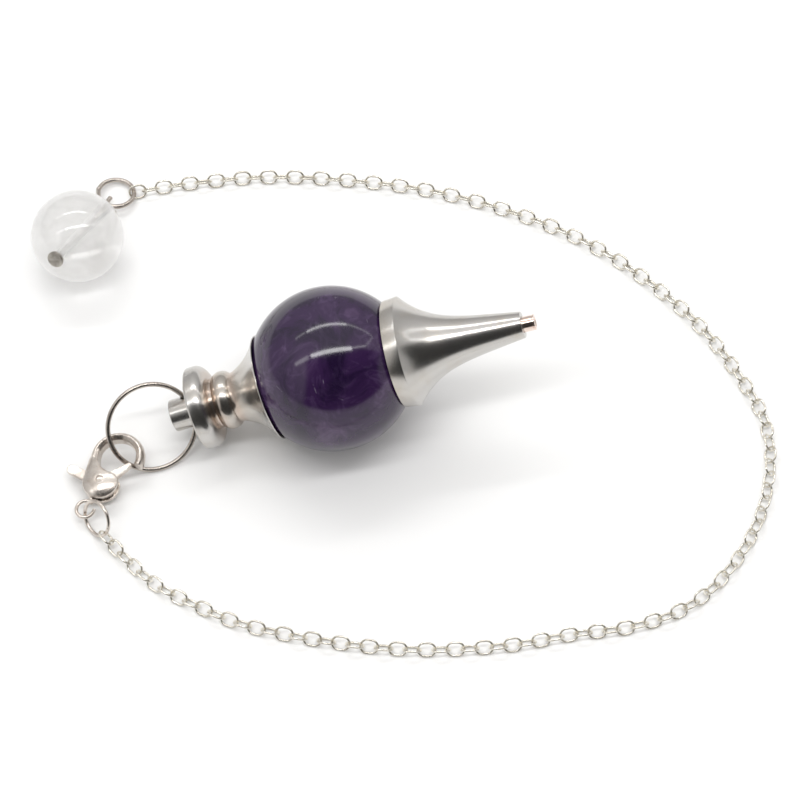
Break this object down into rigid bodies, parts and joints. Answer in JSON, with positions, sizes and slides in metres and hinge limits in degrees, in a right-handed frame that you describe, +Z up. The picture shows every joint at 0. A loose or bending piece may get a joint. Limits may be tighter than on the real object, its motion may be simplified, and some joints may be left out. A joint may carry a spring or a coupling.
{
  "type": "pendulum pendant",
  "caption": "Dowsing pendulum lying on a table: dark stone ball with turned top fitting and tip cone, on a ring and clasp with a fine chain and glass end bead.",
  "frame": {"origin": "middle of the rectangle that the object covers on the table, at the table's height", "axes": "+Z up from the table, +X along the longer side of the chain's loop, +Y away from the viewer of the picture"},
  "size_m": [0.092, 0.0684, 0.02],
  "materials": {
    "stone": "polished dark violet stone with pale cloudy veins",
    "silver": "polished silver plate, lathe turned",
    "pin_metal": "bright copper-tinted rod end",
    "ring_metal": "polished plated wire, slightly dark",
    "clasp_metal": "satin silver plate with a warm tint",
    "chain_metal": "bright silver-plated wire",
    "bead_stone": "foggy translucent colourless stone, polished"
  },
  "bodies": {
    "pendant": {"stone_ball": "stone", "top_fitting": "silver", "tip_cone": "silver", "core_pin": "pin_metal", "carrier_ring": "ring_metal", "clasp_body": "clasp_metal", "clasp_rivet": "clasp_metal", "jump_ring": "clasp_metal", "chain": "chain_metal", "bead_pin": "ring_metal", "end_bead": "bead_stone"},
    "lever": {"clasp_lever": "clasp_metal"}
  },
  "joints": [
    {"name": "lever_hinge", "type": "hinge", "parent": "pendant", "child": "lever", "pos_m": [-0.03595, -0.01195, 0.00183], "axis": [-0.1281, -0.0452, 0.9907], "range_deg": [0, 8], "stiffness_Nm_per_rad": 0.00001, "springref_deg": -11.46}
  ]
}
